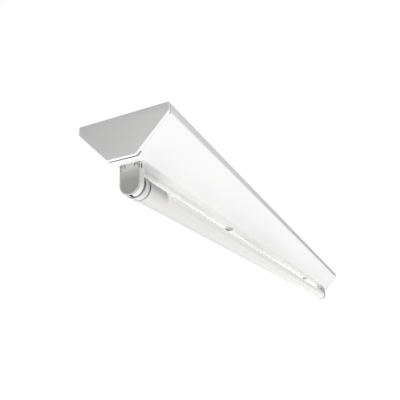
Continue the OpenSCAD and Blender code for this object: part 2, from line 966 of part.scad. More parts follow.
// Sweeps a round wire along a run; the section turns about a direction that no run follows
module wire(path, sides = 8) {
    run = curved(path, 3);
    last = len(run) - 1;
    ref = unit([1, 2, 3]);
    rings = [
        for (i = [0 : last])
            let (
                t = unit(unit(run[min(i + 1, last)] - run[i == last ? last - 1 : i])
                    + unit(run[i == 0 ? 1 : i] - run[max(i - 1, 0)])),
                side = unit(cross(t, ref)),
                up = cross(side, t)
            )
            [for (k = [0 : sides - 1]) let (a = 360 * k / sides)
                run[i] + wire_d / 2 * (cos(a) * side + sin(a) * up)]
    ];
    polyhedron(
        points = [for (r = rings) each r],
        faces = concat(
            [[for (k = [0 : sides - 1]) k]],
            [for (i = [0 : last - 1], k = [0 : sides - 1], half = [0, 1])
                let (a = i * sides + k, b = i * sides + (k + 1) % sides)
                half == 0 ? [a, a + sides, b + sides] : [a, b + sides, b]],
            [[for (k = [sides - 1 : -1 : 0]) last * sides + k]]
        )
    );
}

module live_wire() {
    color("saddlebrown") wire(live_path);
}

module neutral_wire() {
    color("royalblue") wire(neutral_path);
}

module earth_wire() {
    color("limegreen") wire(earth_path);
}

// A clip's section, open below so that the wire snaps in
module clip_outline() {
    difference() {
        translate([-clip_w / 2, -clip_h]) square([clip_w, clip_h]);
        translate([0, wire_z + plate_t]) circle(r = wire_d / 2 + seat);
        translate([-clip_mouth_w / 2, -clip_h - over])
            square([clip_mouth_w, clip_h + over + wire_z + plate_t]);
    }
}

// Clips that hold the two long runs under the plate
module wire_clips() {
    color("white")
        for (far = [false, true], i = [1 : clips_a_side])
            at_end(far)
                translate([
                    clip_shift - i * wire_drop_x / clips_a_side,
                    far ? wire_y : -wire_y,
                    -plate_t
                ])
                    along_x(-clip_l / 2, clip_l / 2) clip_outline();
}

back_plate();
cable_bush();
bridge(false);  // bridge_near
bridge(true);  // bridge_far
cover();
end_cap(false);  // end_cap_near
end_cap(true);  // end_cap_far
stud(false);  // stud_near
stud(true);  // stud_far
washer(false);  // washer_near
washer(true);  // washer_far
holder_housing(false);  // holder_housing_near
holder_housing(true);  // holder_housing_far
holder_back(false);  // holder_back_near
holder_back(true);  // holder_back_far
rotor(false);  // rotor_near
rotor(true);  // rotor_far
contacts(false);  // contacts_near
contacts(true);  // contacts_far
lamp_tube();
lamp_cap(false);  // lamp_cap_near
lamp_cap(true);  // lamp_cap_far
lamp_pins(false);  // lamp_pins_near
lamp_pins(true);  // lamp_pins_far
light_strip();
light_chips();
driver_board();
driver_parts();
strip_leads();
terminal_block();
terminal_inserts();
terminal_screws();
block_screws();
earth_stud();
earth_washer();
earth_ring();
earth_nut();
live_wire();
neutral_wire();
earth_wire();
wire_clips();
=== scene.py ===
# Looks of a one-lamp tube light fitting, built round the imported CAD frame
import json
import math

import bmesh
import bpy
from mathutils import Matrix, Vector

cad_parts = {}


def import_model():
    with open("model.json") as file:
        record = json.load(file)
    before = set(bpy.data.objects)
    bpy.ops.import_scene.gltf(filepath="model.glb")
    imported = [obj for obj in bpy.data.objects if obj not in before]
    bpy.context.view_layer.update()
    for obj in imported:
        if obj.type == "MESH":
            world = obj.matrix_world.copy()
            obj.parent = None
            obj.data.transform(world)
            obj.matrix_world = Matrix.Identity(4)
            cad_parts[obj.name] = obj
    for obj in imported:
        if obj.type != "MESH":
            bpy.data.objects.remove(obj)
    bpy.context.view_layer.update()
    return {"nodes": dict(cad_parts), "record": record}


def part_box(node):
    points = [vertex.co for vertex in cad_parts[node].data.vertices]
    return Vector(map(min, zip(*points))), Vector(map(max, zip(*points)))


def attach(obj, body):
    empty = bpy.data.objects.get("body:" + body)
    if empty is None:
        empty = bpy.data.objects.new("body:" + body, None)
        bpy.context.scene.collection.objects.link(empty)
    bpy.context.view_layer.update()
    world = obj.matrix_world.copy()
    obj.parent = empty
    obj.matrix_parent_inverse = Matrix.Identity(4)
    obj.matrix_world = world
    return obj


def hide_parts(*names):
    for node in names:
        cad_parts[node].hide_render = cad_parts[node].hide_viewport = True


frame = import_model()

# Lengths are in metres, unless a name or a comment says otherwise
MM = 0.001

# Camera, fitted to the photograph: its place, angles in radians, lens and sensor in mm
CAMERA_PLACE = (-0.943748, -0.222284, -0.232100)
CAMERA_YAW = 0.409732
CAMERA_PITCH = 0.340961
CAMERA_ROLL = -0.042890
CAMERA_LENS = 37.767
CAMERA_SENSOR = 36.0
CAMERA_CLIP = 0.01

# Studio: the floor's height, radius and number of sides, the distances over which it fades into
# the white background, its two tones, and the light of the floor and of the world
FLOOR_Z = -1.6
FLOOR_R = 6.8
FLOOR_SEGMENTS = 96
FLOOR_FADE = (2.0, 5.4)
FLOOR_TONES = ((0.59, 0.59, 0.59), (0.60, 0.60, 0.60))
FLOOR_LEVEL = 0.53
WORLD_LEVEL = 0.39

# The world in reflections: above the horizon, and below it in front of the fitting and behind it.
# It changes between these Z values of a direction, and from front to behind between the Y values.
MIRROR_LEVEL = {"above": 0.39, "front": 1.26, "behind": 0.35}
MIRROR_HORIZON = (0.04, -0.04)
MIRROR_SIDE = (0.2, 0.3)
# The floor in reflections: its front, the dark part behind, and a bright panel far along that part.
# The front gives way between these Y values, the panel lies between these X values, and each of its
# two edges is blurred by this much to either side.
FLOOR_MIRROR = {"front": 0.88, "behind": 0.05, "panel": 1.90}
FLOOR_MIRROR_SIDE = (0.42, 1.26)
PANEL_X = (4.30, 5.05)
PANEL_BLUR = 0.25

# Soft boxes: power in watts, size, place and aim
SOFT_BOXES = {
    "near": (5.9, (0.9, 0.7), (-0.75, -0.75, -0.80), (0.0, 0.0, -0.05)),
    "across": (7.7, (1.6, 0.35), (-0.15, 0.50, -0.90), (-0.15, 0.0, -0.05)),
}

# Where the driver inside the lamp ends, and the strength of the painted glow, an emission on the
# unlit tube's wall, there (near) and at the far X
DRIVER_END_X = -0.553
PAINTED_GLOW_FAR_X = 0.5
TUBE_PAINTED_GLOW = {"near": 0.25, "far": 0.34}

# Heights on the lamp, from its underside (-1) to its top (1), between which its tone changes: the
# tube's upper part, paler as painted light, and its painted shade over the driver, then the cap's
# painted shade, its crown of painted shade and its underside, paler as painted light
TUBE_PAINTED_LIGHT = (-0.9, 0.2)
TUBE_DRIVER_SHADE = (-0.8, 0.3)
CAP_SHADE = (-0.2, 0.7)
CAP_CROWN_SHADE = (0.46, 0.66)
CAP_UNDER_LIGHT = (-1.0, -0.2)
# Spans over which a tone changes, counted from a place: the edge of the tube's painted shade at the
# driver's end, the ring of painted shade at a lamp cap's mouth, the less dark ring of painted shade
# at its end plate, and the side walls of a lampholder's slot, which get painted shade up to a
# height below the lamp's axis
DRIVER_SHADE_EDGE = (0.0, 5.0 * MM)
MOUTH_SHADE_RING = (2.6 * MM, 2.8 * MM)
PLATE_SHADE_RING = (-1.1 * MM, -0.7 * MM)
PLATE_SHADE_DARKNESS = 0.7
ENTRY_SHADE_SIDE = (0.05 * MM, 0.15 * MM)
ENTRY_SHADE_TOP = (-9.0 * MM, -8.0 * MM)
# The same on a lampholder's outer face: from its grey middle, which is painted shade, to its border
# and top, which painted light makes pale, from its sides inwards, and how deep its openings lie to
# get painted shade
FACE_LIGHT_BORDER = (9.3 * MM, 12.2 * MM)
FACE_LIGHT_TOP = (4.0 * MM, 18.0 * MM)
OPENING_SHADE_SIDE = (-0.9 * MM, -0.7 * MM)
OPENING_SHADE_DEPTH = (0.5 * MM, 0.7 * MM)

# Rounded edges of the copies of CAD nodes: each copy's width in mm, the bevel's segments and the
# least angle of a rounded edge, and the angle and distance below which faces and corners merge
EDGE_WIDTHS = {
    "cover": 0.25,
    "end_cap_near": 0.35,
    "end_cap_far": 0.35,
    "holder_housing_near": 0.25,
    "holder_housing_far": 0.25,
    "holder_back_near": 0.12,
    "holder_back_far": 0.12,
    "lamp_cap_near": 0.2,
    "lamp_cap_far": 0.2,
    "stud_near": 0.2,
    "stud_far": 0.2,
    "washer_near": 0.15,
    "washer_far": 0.15,
    "cable_bush": 0.3,
}
EDGE_SEGMENTS = 2
SHARP_ANGLE = math.radians(25.0)
FLAT_ANGLE = math.radians(0.6)
MERGE_DISTANCE = 0.001 * MM

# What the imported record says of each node
slot_of = {part["node"]: part["material_slot"] for part in frame["record"]["subparts"]}
bodies = frame["record"]["behaviour"]["bodies"]
body_of = {node: body for body, members in bodies.items() for node in members}

# The lamp's axis and radius, where its far cap starts and ends, and the place and half width of the
# far lampholder's outer face
tube_low, tube_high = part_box("lamp_tube")
AXIS_Z = (tube_low.z + tube_high.z) / 2
TUBE_R = (tube_high.y - tube_low.y) / 2
CAP_MOUTH_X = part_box("lamp_cap_far")[0].x
CAP_END_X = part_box("lamp_cap_far")[1].x
HOLDER_FACE_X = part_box("holder_back_far")[1].x
HOLDER_HALF_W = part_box("holder_back_far")[1].y

# The cover's section: half its flat, its slopes, the lip above them and the folds' outer radius
cover_low, cover_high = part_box("cover")
FLAT_HALF = 17.0 * MM
LIP_H = 10.0 * MM
SLOPE_RUN = cover_high.y - FLAT_HALF
SLOPE_RISE = -LIP_H - cover_low.z
FOLD_R = 3.8 * MM
FOLD_STEPS = 4

# The seam beside an end cap, and the strips in it, of which the black ones are painted shade in the
# seam: width, and how deep the inner and outer face lie below the body's face. Shares run up a
# slope, from its fold (0) to its lip (1).
SEAM = 0.8 * MM
SEAM_SHADE_STRIP = (0.76 * MM, 0.9 * MM, -0.02 * MM)
SEAM_SHADE_BEAD = (1.4 * MM, -0.02 * MM, -0.22 * MM)
SEAM_FILL = (0.76 * MM, 0.9 * MM, 0.1 * MM)
SEAM_SHADE_END = 0.1
FILL_SPAN = (0.11, 0.96)

# A lampholder's back and half its slot for the lamp's pins. Then the black card inside its top, put
# there as painted shade: heights over the lamp's axis, half width, depth from the outer face, gap to
# the back and thickness.
HOLDER_BACK_T = 1.2 * MM
ENTRY_HALF_W = 1.7 * MM
LINER_Z = (15.0 * MM, 20.6 * MM)
LINER_HALF_W = 10.4 * MM
LINER_DEPTH = 6.5 * MM
LINER_GAP = 0.05 * MM
LINER_T = 0.2 * MM


def beyond(place, span):
    """The start and end of a span that is counted from a place."""
    return place + span[0], place + span[1]


def on_lamp(span):
    """The heights of a span on the lamp, from its underside (-1) to its top (1)."""
    return AXIS_Z + span[0] * TUBE_R, AXIS_Z + span[1] * TUBE_R


def feed(tree, value, socket):
    """Set a socket to a number, or link another node's output to it."""
    if isinstance(value, float):
        socket.default_value = value
    else:
        tree.links.new(value, socket)


def joined(tree, operation, first, second):
    """A math node over two values, each a number or another node's output."""
    node = tree.nodes.new("ShaderNodeMath")
    node.operation = operation
    feed(tree, first, node.inputs[0])
    feed(tree, second, node.inputs[1])
    return node.outputs["Value"]


def blended(tree, value, span, first, second):
    """A level that goes smoothly from first to second while the value crosses a span."""
    node = tree.nodes.new("ShaderNodeMapRange")
    node.interpolation_type = "SMOOTHSTEP"
    node.inputs["From Min"].default_value, node.inputs["From Max"].default_value = span
    feed(tree, first, node.inputs["To Min"])
    feed(tree, second, node.inputs["To Max"])
    tree.links.new(value, node.inputs["Value"])
    return node.outputs["Result"]


def axes(tree, vector):
    """The X, Y and Z outputs of a vector."""
    node = tree.nodes.new("ShaderNodeSeparateXYZ")
    tree.links.new(vector, node.inputs["Vector"])
    return node.outputs


class Finish:
    """A procedural material: its textures run in metres over the object's own coordinates."""

    def __init__(self, name, roughness, metallic=0.0, specular=0.5, coat=0.0, coat_roughness=0.1):
        self.material = bpy.data.materials.new(name)
        self.material.use_nodes = True
        self.tree = self.material.node_tree
        self.shader = self.tree.nodes["Principled BSDF"]
        self.shader.inputs["Roughness"].default_value = roughness
        self.shader.inputs["Metallic"].default_value = metallic
        self.shader.inputs["Specular IOR Level"].default_value = specular
        self.shader.inputs["Coat Weight"].default_value = coat
        self.shader.inputs["Coat Roughness"].default_value = coat_roughness
        self.place = self.tree.nodes.new("ShaderNodeTexCoord").outputs["Object"]

    def link(self, source, target):
        self.tree.links.new(source, target)

    def stretched(self, scale):
        """Coordinates that are scaled by a different factor along each axis."""
        node = self.tree.nodes.new("ShaderNodeMapping")
        node.inputs["Scale"].default_value = scale
        self.link(self.place, node.inputs["Vector"])
        return node.outputs["Vector"]

    def noise(self, scale, detail=2.0, place=None):
        node = self.tree.nodes.new("ShaderNodeTexNoise")
        node.inputs["Scale"].default_value = scale
        node.inputs["Detail"].default_value = detail
        self.link(place or self.place, node.inputs["Vector"])
        return node.outputs["Fac"]

    def cells(self, scale, output):
        node = self.tree.nodes.new("ShaderNodeTexVoronoi")
        node.inputs["Scale"].default_value = scale
        self.link(self.place, node.inputs["Vector"])
        return node.outputs[output]

    def ranged(self, value, low, high, start=0.3, end=0.7):
        """A level that goes evenly from low to high while the value goes from start to end."""
        node = self.tree.nodes.new("ShaderNodeMapRange")
        node.inputs["From Min"].default_value = start
        node.inputs["From Max"].default_value = end
        node.inputs["To Min"].default_value = low
        node.inputs["To Max"].default_value = high
        self.link(value, node.inputs["Value"])
        return node.outputs["Result"]

    def axis(self, name):
        return axes(self.tree, self.place)[name]

    def distance(self, name):
        """How far a point is from the middle along one axis, to either side."""
        return joined(self.tree, "ABSOLUTE", self.axis(name), 0.0)

    def rise(self, name, start, end):
        """0 before start and 1 after end, along one axis."""
        return self.ranged(self.axis(name), 0.0, 1.0, start, end)

    def fall(self, name, start, end):
        """1 before start and 0 after end, along one axis."""
        return self.ranged(self.axis(name), 1.0, 0.0, start, end)

    def sum(self, first, second):
        return joined(self.tree, "ADD", first, second)

    def product(self, first, second):
        return joined(self.tree, "MULTIPLY", first, second)

    def larger(self, first, second):
        return joined(self.tree, "MAXIMUM", first, second)

    def mixed(self, factor, first, second):
        """First colour at factor 0 and second at 1, each a tuple or another node's output."""
        node = self.tree.nodes.new("ShaderNodeMix")
        node.data_type = "RGBA"
        self.link(factor, node.inputs["Factor"])
        for value, target in ((first, node.inputs[6]), (second, node.inputs[7])):
            if isinstance(value, tuple):
                target.default_value = (*value, 1.0)
            else:
                self.link(value, target)
        return node.outputs[2]

    def patches(self, scale, detail, first, second, start=0.3, end=0.7):
        """Soft patches of two colours."""
        return self.mixed(self.ranged(self.noise(scale, detail), 0.0, 1.0, start, end), first, second)

    def coloured(self, colour):
        self.link(colour, self.shader.inputs["Base Color"])

    def roughened(self, scale, detail, low, high):
        """Uneven gloss: the roughness changes in soft patches between two levels."""
        self.link(self.ranged(self.noise(scale, detail), low, high), self.shader.inputs["Roughness"])

    def bumped(self, height, strength, depth_mm):
        node = self.tree.nodes.new("ShaderNodeBump")
        node.inputs["Strength"].default_value = strength
        node.inputs["Distance"].default_value = depth_mm * MM
        self.link(height, node.inputs["Height"])
        self.link(node.outputs["Normal"], self.shader.inputs["Normal"])


def moulded(name, dark, light, roughness, grain=900.0, depth_mm=0.012, specular=0.5):
    """Moulded or dipped material: faint tone patches, a fine texture and uneven gloss."""
    finish = Finish(name, roughness, specular=specular)
    finish.coloured(finish.patches(28.0, 3.0, dark, light))
    finish.roughened(160.0, 4.0, roughness - 0.05, roughness + 0.05)
    finish.bumped(finish.noise(grain, 3.0), 0.35, depth_mm)
    return finish.material


def turned_metal(name, dark, light, roughness, grain=(400.0, 400.0, 30.0)):
    """Plated or drawn metal, with fine lines along the grain and a few dull patches."""
    finish = Finish(name, roughness, metallic=1.0)
    lines = finish.noise(4.0, 4.0, finish.stretched(grain))
    finish.coloured(finish.mixed(finish.ranged(lines, 0.0, 1.0), dark, light))
    finish.roughened(260.0, 3.0, roughness - 0.07, roughness + 0.09)
    finish.bumped(lines, 0.25, 0.008)
    return finish.material


def powder_coat(name):
    """Satin white powder paint on steel, with orange peel in two sizes."""
    finish = Finish(name, 0.16)
    finish.coloured(finish.patches(9.0, 4.0, (0.84, 0.845, 0.84), (0.865, 0.865, 0.86)))
    finish.roughened(220.0, 3.0, 0.13, 0.20)
    peel = finish.sum(finish.noise(420.0, 2.0), finish.noise(1400.0, 1.0))
    finish.bumped(peel, 0.3, 0.005)
    return finish.material


def zinc(name):
    """Zinc plated steel: a spangle of faint cells over a drawn grain."""
    finish = Finish(name, 0.38, metallic=1.0)
    spangle = finish.ranged(finish.cells(240.0, "Color"), 0.0, 1.0, 0.0, 1.0)
    finish.coloured(finish.mixed(spangle, (0.60, 0.61, 0.62), (0.74, 0.75, 0.76)))
    finish.roughened(300.0, 4.0, 0.30, 0.48)
    drawn = finish.noise(40.0, 3.0, finish.stretched((1.0, 40.0, 40.0)))
    finish.bumped(drawn, 0.2, 0.01)
    return finish.material


def tube_with_painted_light(name):
    """Opal tube with painted light and shade: a paler upper part, a faint painted glow as if lit from
    inside, and painted shade over the driver.
    """
    finish = Finish(name, 0.34, specular=0.45, coat=0.15, coat_roughness=0.2)
    opal = finish.patches(14.0, 3.0, (0.37, 0.37, 0.37), (0.39, 0.385, 0.38))
    # Painted light: the tube's upper part is paler than its underside
    above = finish.rise("Z", *on_lamp(TUBE_PAINTED_LIGHT))
    wall = finish.mixed(above, opal, (0.67, 0.665, 0.655))
    upper_shade_band = finish.rise("Z", *on_lamp(TUBE_DRIVER_SHADE))
    driver_shade = finish.fall("X", *beyond(DRIVER_END_X, DRIVER_SHADE_EDGE))
    painted_shade = finish.product(upper_shade_band, driver_shade)
    finish.coloured(finish.mixed(painted_shade, wall, (0.455, 0.455, 0.455)))
    # Painted glow, an emission on the unlit tube, left out where the painted shade over the driver
    # lies
    clear = finish.ranged(painted_shade, 1.0, 0.0, 0.0, 1.0)
    along = finish.axis("X")
    glow = finish.ranged(along, TUBE_PAINTED_GLOW["near"], TUBE_PAINTED_GLOW["far"], DRIVER_END_X, PAINTED_GLOW_FAR_X)
    finish.link(finish.product(clear, glow), finish.shader.inputs["Emission Strength"])
    finish.shader.inputs["Emission Color"].default_value = (1.0, 1.0, 0.99, 1.0)
    finish.roughened(500.0, 2.0, 0.30, 0.38)
    drawn = finish.noise(90.0, 2.0, finish.stretched((0.03, 8.0, 8.0)))
    finish.bumped(drawn, 0.12, 0.01)
    return finish.material


def moulding_with_slot_shade(name):
    """Lampholder plastic, with painted shade on the walls of the slot for the lamp's pins."""
    finish = Finish(name, 0.30)
    wall = finish.patches(60.0, 3.0, (0.73, 0.73, 0.72), (0.76, 0.76, 0.75))
    # Painted shade: near black on the slot's side walls, up to a height below the lamp's axis
    middle = finish.ranged(finish.distance("Y"), 1.0, 0.0, *beyond(ENTRY_HALF_W, ENTRY_SHADE_SIDE))
    low = finish.fall("Z", *beyond(AXIS_Z, ENTRY_SHADE_TOP))
    finish.coloured(finish.mixed(finish.product(middle, low), wall, (0.03, 0.03, 0.03)))
    finish.roughened(300.0, 3.0, 0.26, 0.35)
    finish.bumped(finish.noise(1100.0, 3.0), 0.3, 0.008)
    return finish.material


def face_with_painted_shade(name):
    """A lampholder's outer face with painted light and shade: grey in its middle, pale round it, dark
    in its openings.
    """
    finish = Finish(name, 0.34, specular=0.4)
    # The distance from the lamp's axis below it, and from the middle plane above it
    below = joined(finish.tree, "MINIMUM", finish.sum(finish.axis("Z"), -AXIS_Z), 0.0)
    across = finish.axis("Y")
    square = finish.sum(finish.product(across, across), finish.product(below, below))
    reach = joined(finish.tree, "POWER", square, 0.5)
    # Painted light and shade: the border and top are pale, the middle grey as if in shade
    border = finish.ranged(reach, 0.0, 1.0, *FACE_LIGHT_BORDER)
    top = finish.rise("Z", *beyond(AXIS_Z, FACE_LIGHT_TOP))
    pale = finish.patches(60.0, 3.0, (0.66, 0.66, 0.65), (0.69, 0.69, 0.68))
    face = finish.mixed(finish.larger(border, top), (0.47, 0.475, 0.455), pale)
    # Painted shade in the openings, which are what lies deeper than the outer face and away from the
    # sides
    deep = joined(finish.tree, "SUBTRACT", HOLDER_FACE_X, finish.distance("X"))
    within = finish.ranged(finish.distance("Y"), 1.0, 0.0, *beyond(HOLDER_HALF_W, OPENING_SHADE_SIDE))
    painted_opening_shade = finish.product(within, finish.ranged(deep, 0.0, 1.0, *OPENING_SHADE_DEPTH))
    finish.coloured(finish.mixed(painted_opening_shade, face, (0.10, 0.10, 0.10)))
    finish.roughened(300.0, 3.0, 0.30, 0.38)
    finish.bumped(finish.noise(1100.0, 3.0), 0.3, 0.008)
    return finish.material


def cap_with_painted_shade(name):
    """Lamp cap plastic with painted shade: darker above with a dark crown, and dark rings of painted
    shade at its two ends, which painted light makes paler below.
    """
    finish = Finish(name, 0.36)
    plain = finish.patches(28.0, 3.0, (0.57, 0.575, 0.58), (0.60, 0.60, 0.60))
    # Painted shade on the cap's upper part, and a darker crown
    shaded = finish.mixed(finish.rise("Z", *on_lamp(CAP_SHADE)), plain, (0.48, 0.48, 0.48))
    cap_with_crown_shade = finish.mixed(finish.rise("Z", *on_lamp(CAP_CROWN_SHADE)), shaded, (0.14, 0.14, 0.14))
    # Painted light: the rings of painted shade are paler on the underside
    below = finish.fall("Z", *on_lamp(CAP_UNDER_LIGHT))
    ring = finish.mixed(below, (0.045, 0.045, 0.047), (0.32, 0.32, 0.32))
    along = finish.distance("X")
    mouth_shade = finish.ranged(along, 1.0, 0.0, *beyond(CAP_MOUTH_X, MOUTH_SHADE_RING))
    plate_shade = finish.ranged(along, 0.0, PLATE_SHADE_DARKNESS, *beyond(CAP_END_X, PLATE_SHADE_RING))
    finish.coloured(finish.mixed(finish.larger(mouth_shade, plate_shade), cap_with_crown_shade, ring))
    finish.roughened(160.0, 4.0, 0.31, 0.41)
    finish.bumped(finish.noise(1100.0, 3.0), 0.35, 0.012)
    return finish.material


def circuit(name):
    """Solder mask over tracks, seen as slightly lighter lanes."""
    finish = Finish(name, 0.42, coat=0.2)
    lanes = finish.ranged(finish.cells(420.0, "Distance"), 0.0, 1.0, 0.35, 0.6)
    finish.coloured(finish.mixed(lanes, (0.05, 0.22, 0.10), (0.09, 0.33, 0.16)))
    finish.roughened(500.0, 2.0, 0.36, 0.5)
    finish.bumped(lanes, 0.4, 0.03)
    return finish.material


def parts_mix(name):
    """Driver parts: dark cases and yellow tape, in patches along the board."""
    finish = Finish(name, 0.45)
    finish.coloured(
        finish.patches(110.0, 1.0, (0.03, 0.03, 0.035), (0.45, 0.34, 0.06), start=0.45, end=0.55)
    )
    finish.roughened(300.0, 2.0, 0.35, 0.55)
    finish.bumped(finish.noise(700.0, 3.0), 0.3, 0.03)
    return finish.material


def two_tone_wire(name):
    """Green and yellow insulation in slanting stripes."""
    finish = Finish(name, 0.42)
    wave = finish.tree.nodes.new("ShaderNodeTexWave")
    wave.bands_direction = "DIAGONAL"
    wave.inputs["Scale"].default_value = 110.0
    finish.link(finish.place, wave.inputs["Vector"])
    stripes = finish.ranged(wave.outputs["Fac"], 0.0, 1.0, 0.45, 0.55)
    finish.coloured(finish.mixed(stripes, (0.05, 0.33, 0.07), (0.75, 0.62, 0.05)))
    finish.roughened(400.0, 2.0, 0.36, 0.5)
    finish.bumped(finish.noise(900.0, 2.0), 0.3, 0.01)
    return finish.material


# Moulded finishes: dark and light tone, roughness, and where needed grain, depth in mm, specular
MOULDED = {
    "cap_plastic": ((0.82, 0.82, 0.815), (0.845, 0.845, 0.84), 0.40, 1300.0),
    # Rotor near black, so that the lampholder's slot shows painted shade
    "rotor_plastic": ((0.030, 0.030, 0.031), (0.045, 0.045, 0.046), 0.42),
    "bush_rubber": ((0.022, 0.022, 0.023), (0.035, 0.035, 0.036), 0.62, 700.0, 0.03, 0.35),
    "strip_board": ((0.82, 0.82, 0.81), (0.86, 0.86, 0.85), 0.38),
    "light_phosphor": ((0.80, 0.58, 0.06), (0.90, 0.68, 0.10), 0.5, 1500.0, 0.02),
    "lead_red": ((0.42, 0.015, 0.01), (0.55, 0.03, 0.02), 0.42),
    "block_nylon": ((0.74, 0.72, 0.64), (0.80, 0.78, 0.71), 0.46, 800.0),
    "wire_brown": ((0.10, 0.03, 0.012), (0.16, 0.055, 0.02), 0.42),
    "wire_blue": ((0.01, 0.06, 0.34), (0.02, 0.09, 0.45), 0.42),
    "clip_nylon": ((0.80, 0.80, 0.77), (0.85, 0.85, 0.82), 0.48, 800.0),
    # A black card inside each lampholder: painted shade
    "shade_card": ((0.02, 0.02, 0.02), (0.03, 0.03, 0.03), 0.6, 1200.0, 0.01, 0.3),
    # Black strips in the seams beside the end caps: painted shade
    "painted_seam_shade": ((0.03, 0.03, 0.031), (0.05, 0.05, 0.051), 0.7, 900.0, 0.03, 0.3),
}
# Metal finishes: dark and light tone, roughness, and the grain where it doesn't run along Z
METALS = {
    "contact_brass": ((0.70, 0.52, 0.24), (0.82, 0.64, 0.33), 0.28),
    "fastener_nickel": ((0.60, 0.59, 0.57), (0.68, 0.67, 0.65), 0.26),
    "pin_metal": ((0.62, 0.60, 0.54), (0.74, 0.72, 0.66), 0.24, (30.0, 400.0, 400.0)),
}
# Finishes with a function of their own
SPECIALS = {
    "white_steel": powder_coat,
    "zinc_steel": zinc,
    "holder_plastic": moulding_with_slot_shade,
    "holder_face": face_with_painted_shade,
    "lamp_diffuser": tube_with_painted_light,
    "lamp_cap_plastic": cap_with_painted_shade,
    "circuit_board": circuit,
    "driver_component": parts_mix,
    "wire_earth": two_tone_wire,
}
FINISHES = {
    **{name: moulded(name, *values) for name, values in MOULDED.items()},
    **{name: turned_metal(name, *values) for name, values in METALS.items()},
    **{name: make(name) for name, make in SPECIALS.items()},
}
# Nodes that show another finish than their slot's own
FINISH_OF = {"holder_back_near": "holder_face", "holder_back_far": "holder_face"}


def placed(name, data):
    """A new object in the scene."""
    made = bpy.data.objects.new(name, data)
    bpy.context.scene.collection.objects.link(made)
    return made


def shaped(name, build):
    """A new mesh object in the scene, from what was built."""
    mesh = bpy.data.meshes.new(name)
    build.to_mesh(mesh)
    build.free()
    return placed(name, mesh)


def finished(piece, finish):
    """Give a piece one finish all over."""
    piece.data.materials.clear()
    piece.data.materials.append(FINISHES[finish])


def edged(node, width):
    """A copy of a CAD node with its sharp edges rounded, shown in the node's place."""
    mesh = frame["nodes"][node].data.copy()
    build = bmesh.new()
    build.from_mesh(mesh)
    bmesh.ops.remove_doubles(build, verts=build.verts, dist=MERGE_DISTANCE)
    bmesh.ops.dissolve_limit(build, angle_limit=FLAT_ANGLE, verts=build.verts, edges=build.edges)
    build.to_mesh(mesh)
    build.free()
    piece = placed(node + "_edged", mesh)
    bevel = piece.modifiers.new("edges", "BEVEL")
    bevel.limit_method = "ANGLE"
    bevel.angle_limit = SHARP_ANGLE
    bevel.width = width * MM
    bevel.segments = EDGE_SEGMENTS
    bevel.harden_normals = True
    mesh.shade_smooth()
    mesh.set_sharp_from_angle(angle=SHARP_ANGLE)
    finished(piece, FINISH_OF.get(node, slot_of[node]))
    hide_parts(node)
    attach(piece, body_of[node])


def fold_corner(side):
    """Points round the fold between the flat underside and one slope, as (y, z)."""
    turn = math.atan2(SLOPE_RISE, SLOPE_RUN)
    centre_y = FLAT_HALF - FOLD_R * math.tan(turn / 2)
    centre_z = cover_low.z + FOLD_R
    points = []
    for i in range(FOLD_STEPS + 1):
        angle = -math.pi / 2 + turn * i / FOLD_STEPS
        y = centre_y + FOLD_R * math.cos(angle)
        z = centre_z + FOLD_R * math.sin(angle)
        points.append((side * y, z))
    return points


def on_slope(side, share):
    """A point on a slope's outer face, from the fold (0) to the lip (1)."""
    return side * (FLAT_HALF + share * SLOPE_RUN), cover_low.z + share * SLOPE_RISE


def outward_at(path, i):
    """The direction out of the body at one point of a path across it."""
    before = path[max(i - 1, 0)]
    after = path[min(i + 1, len(path) - 1)]
    along = Vector((0.0, after[0] - before[0], after[1] - before[1])).normalized()
    outward = Vector((0.0, along.z, -along.y))
    if outward.dot(Vector((0.0, *path[i]))) < 0:
        outward.negate()
    return outward


def seam_strip(name, end, path, section, finish):
    """A strip along the seam beside an end cap, with one section all along its path."""
    width, inner, outer = section
    edge_x = cover_low.x if end == "near" else cover_high.x
    way = math.copysign(1.0, edge_x)
    first_x = edge_x + way * (SEAM / 2 - width / 2)
    second_x = edge_x + way * (SEAM / 2 + width / 2)
    corners = ((first_x, inner), (first_x, outer), (second_x, outer), (second_x, inner))
    build = bmesh.new()
    rings = []
    for i, (y, z) in enumerate(path):
        outward = outward_at(path, i)
        rings.append([build.verts.new(Vector((x, y, z)) - depth * outward) for x, depth in corners])
    for ring, after in zip(rings, rings[1:]):
        for j in range(len(corners)):
            k = (j + 1) % len(corners)
            build.faces.new((ring[j], ring[k], after[k], after[j]))
    build.faces.new(rings[0])
    build.faces.new(rings[-1])
    bmesh.ops.recalc_face_normals(build, faces=build.faces)
    piece = shaped(name, build)
    finished(piece, finish)
    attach(piece, body_of["end_cap_" + end])


def seam_seals(end):
    """The seam's filling: black strips along the flat underside as painted shade in the seam, pale
    cap plastic along the slopes.
    """
    underside = fold_corner(-1)[::-1] + fold_corner(1)
    around = [on_slope(-1, SEAM_SHADE_END)] + underside + [on_slope(1, SEAM_SHADE_END)]
    for word, section in (("shade_strip", SEAM_SHADE_STRIP), ("bead", SEAM_SHADE_BEAD)):
        seam_strip(f"seam_{word}_{end}", end, around, section, "painted_seam_shade")
    for side, word in ((-1, "front"), (1, "behind")):
        slope = [on_slope(side, share) for share in FILL_SPAN]
        name = f"seam_fill_{word}_{end}"
        seam_strip(name, end, slope, SEAM_FILL, "cap_plastic")


